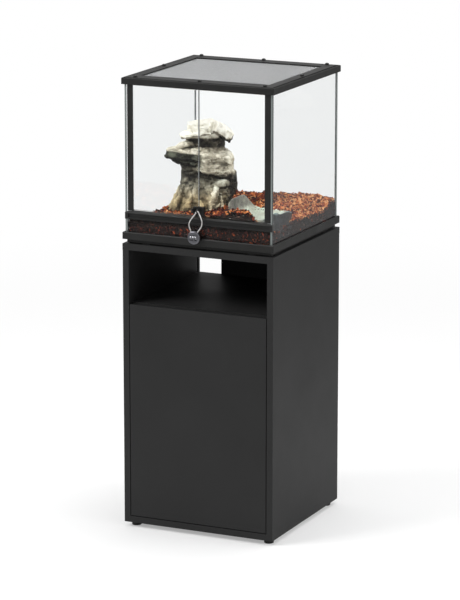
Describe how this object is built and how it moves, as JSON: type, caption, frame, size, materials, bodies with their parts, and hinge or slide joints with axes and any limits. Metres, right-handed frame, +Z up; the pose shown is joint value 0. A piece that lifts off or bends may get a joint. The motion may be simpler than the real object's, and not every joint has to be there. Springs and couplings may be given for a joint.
{
  "type": "terrarium cabinet",
  "caption": "Front-opening glass terrarium with a mesh lid and cable lock, standing on a tall black cabinet with an open niche and a flush door.",
  "frame": {"origin": "on the floor, under the middle of the cabinet", "axes": "+Z up, -Y out of the front where the doors are, +X to the right seen from the front"},
  "size_m": [0.4, 0.4124, 1.1233],
  "materials": {
    "melamine_black": "fine-grained matt melamine",
    "frame_plastic": "moulded, satin black",
    "glide_plastic": "moulded",
    "clear_glass": "float glass, polished edges",
    "silicone": "black silicone",
    "pad_rubber": "matt rubber",
    "zinc_steel": "zinc-plated",
    "mesh_steel": "black-coated wire mesh",
    "beech": "bare beech",
    "latch_plastic": "moulded, pale grey",
    "lock_zinc": "die-cast zinc, satin",
    "lock_cable": "bright stranded steel cable",
    "bark_substrate": "loose bark chips over soil",
    "rock_resin": "cast resin rock, rough",
    "dish_resin": "glazed, mint grey"
  },
  "bodies": {
    "cabinet": {"side_board_left": "melamine_black", "side_board_right": "melamine_black", "top_board": "melamine_black", "floor_board": "melamine_black", "niche_board": "melamine_black", "back_board": "melamine_black", "inner_shelf": "melamine_black", "shelf_pins": "zinc_steel", "dowels": "beech", "glide_front_left": "glide_plastic", "glide_front_right": "glide_plastic", "glide_back_left": "glide_plastic", "glide_back_right": "glide_plastic", "hinge_arms": "zinc_steel", "hinge_plate_screws": "zinc_steel", "latch_housing": "frame_plastic", "latch_spring": "zinc_steel", "tank_pads": "pad_rubber", "base_frame": "frame_plastic", "glass_floor": "clear_glass", "glass_left": "clear_glass", "glass_right": "clear_glass", "glass_back": "clear_glass", "glass_strip": "clear_glass", "silicone_seams": "silicone", "door_sill": "frame_plastic", "top_frame": "frame_plastic", "substrate": "bark_substrate", "rock_ornament": "rock_resin", "water_dish": "dish_resin"},
    "cabinet_door": {"cabinet_door": "melamine_black", "hinge_cups": "zinc_steel", "hinge_links": "zinc_steel", "hinge_cup_screws": "zinc_steel", "strike_plate": "zinc_steel"},
    "latch_plunger": {"latch_plunger": "latch_plastic"},
    "left_door": {"door_profile_left": "frame_plastic", "door_glass_left": "clear_glass", "pivot_pins_left": "zinc_steel", "lock_eye_left": "frame_plastic"},
    "right_door": {"door_profile_right": "frame_plastic", "door_glass_right": "clear_glass", "pivot_pins_right": "zinc_steel", "lock_eye_right": "frame_plastic"},
    "padlock": {"padlock_body": "lock_zinc", "padlock_axle": "zinc_steel", "padlock_cable": "lock_cable"},
    "dial_left": {"dial_left": "lock_zinc"},
    "dial_middle": {"dial_middle": "lock_zinc"},
    "dial_right": {"dial_right": "lock_zinc"},
    "lid": {"lid_frame": "frame_plastic", "lid_mesh": "mesh_steel", "lid_studs": "frame_plastic"}
  },
  "joints": [
    {"name": "cabinet_door_hinge", "type": "hinge", "parent": "cabinet", "child": "cabinet_door", "pos_m": [-0.1825, -0.2005, 0.2965], "axis": [0, 0, -1], "range_deg": [0, 105]},
    {"name": "latch_press", "type": "slide", "parent": "cabinet", "child": "latch_plunger", "axis": [0, 1, 0], "range_m": [0, 0.003], "stiffness_N_per_m": 500, "springref_m": -0.004},
    {"name": "left_door_pivot", "type": "hinge", "parent": "cabinet", "child": "left_door", "pos_m": [-0.1832, -0.1891, 0.947], "axis": [0, 0, -1], "range_deg": [0, 90]},
    {"name": "right_door_pivot", "type": "hinge", "parent": "cabinet", "child": "right_door", "pos_m": [0.1832, -0.1891, 0.947], "axis": [0, 0, 1], "range_deg": [0, 90]},
    {"name": "padlock_swing", "type": "hinge", "parent": "right_door", "child": "padlock", "pos_m": [0.0038, -0.2065, 0.81], "axis": [-1, 0, 0], "range_deg": [0, 60]},
    {"name": "dial_left_turn", "type": "hinge", "parent": "padlock", "child": "dial_left", "pos_m": [-0.0112, -0.2065, 0.745], "axis": [1, 0, 0], "continuous": true},
    {"name": "dial_middle_turn", "type": "hinge", "parent": "padlock", "child": "dial_middle", "pos_m": [-0.0047, -0.2065, 0.745], "axis": [1, 0, 0], "continuous": true},
    {"name": "dial_right_turn", "type": "hinge", "parent": "padlock", "child": "dial_right", "pos_m": [0.0018, -0.2065, 0.745], "axis": [1, 0, 0], "continuous": true},
    {"name": "lid_lift", "type": "slide", "parent": "cabinet", "child": "lid", "axis": [0, 0, 1], "range_m": [0, 0.06]}
  ]
}
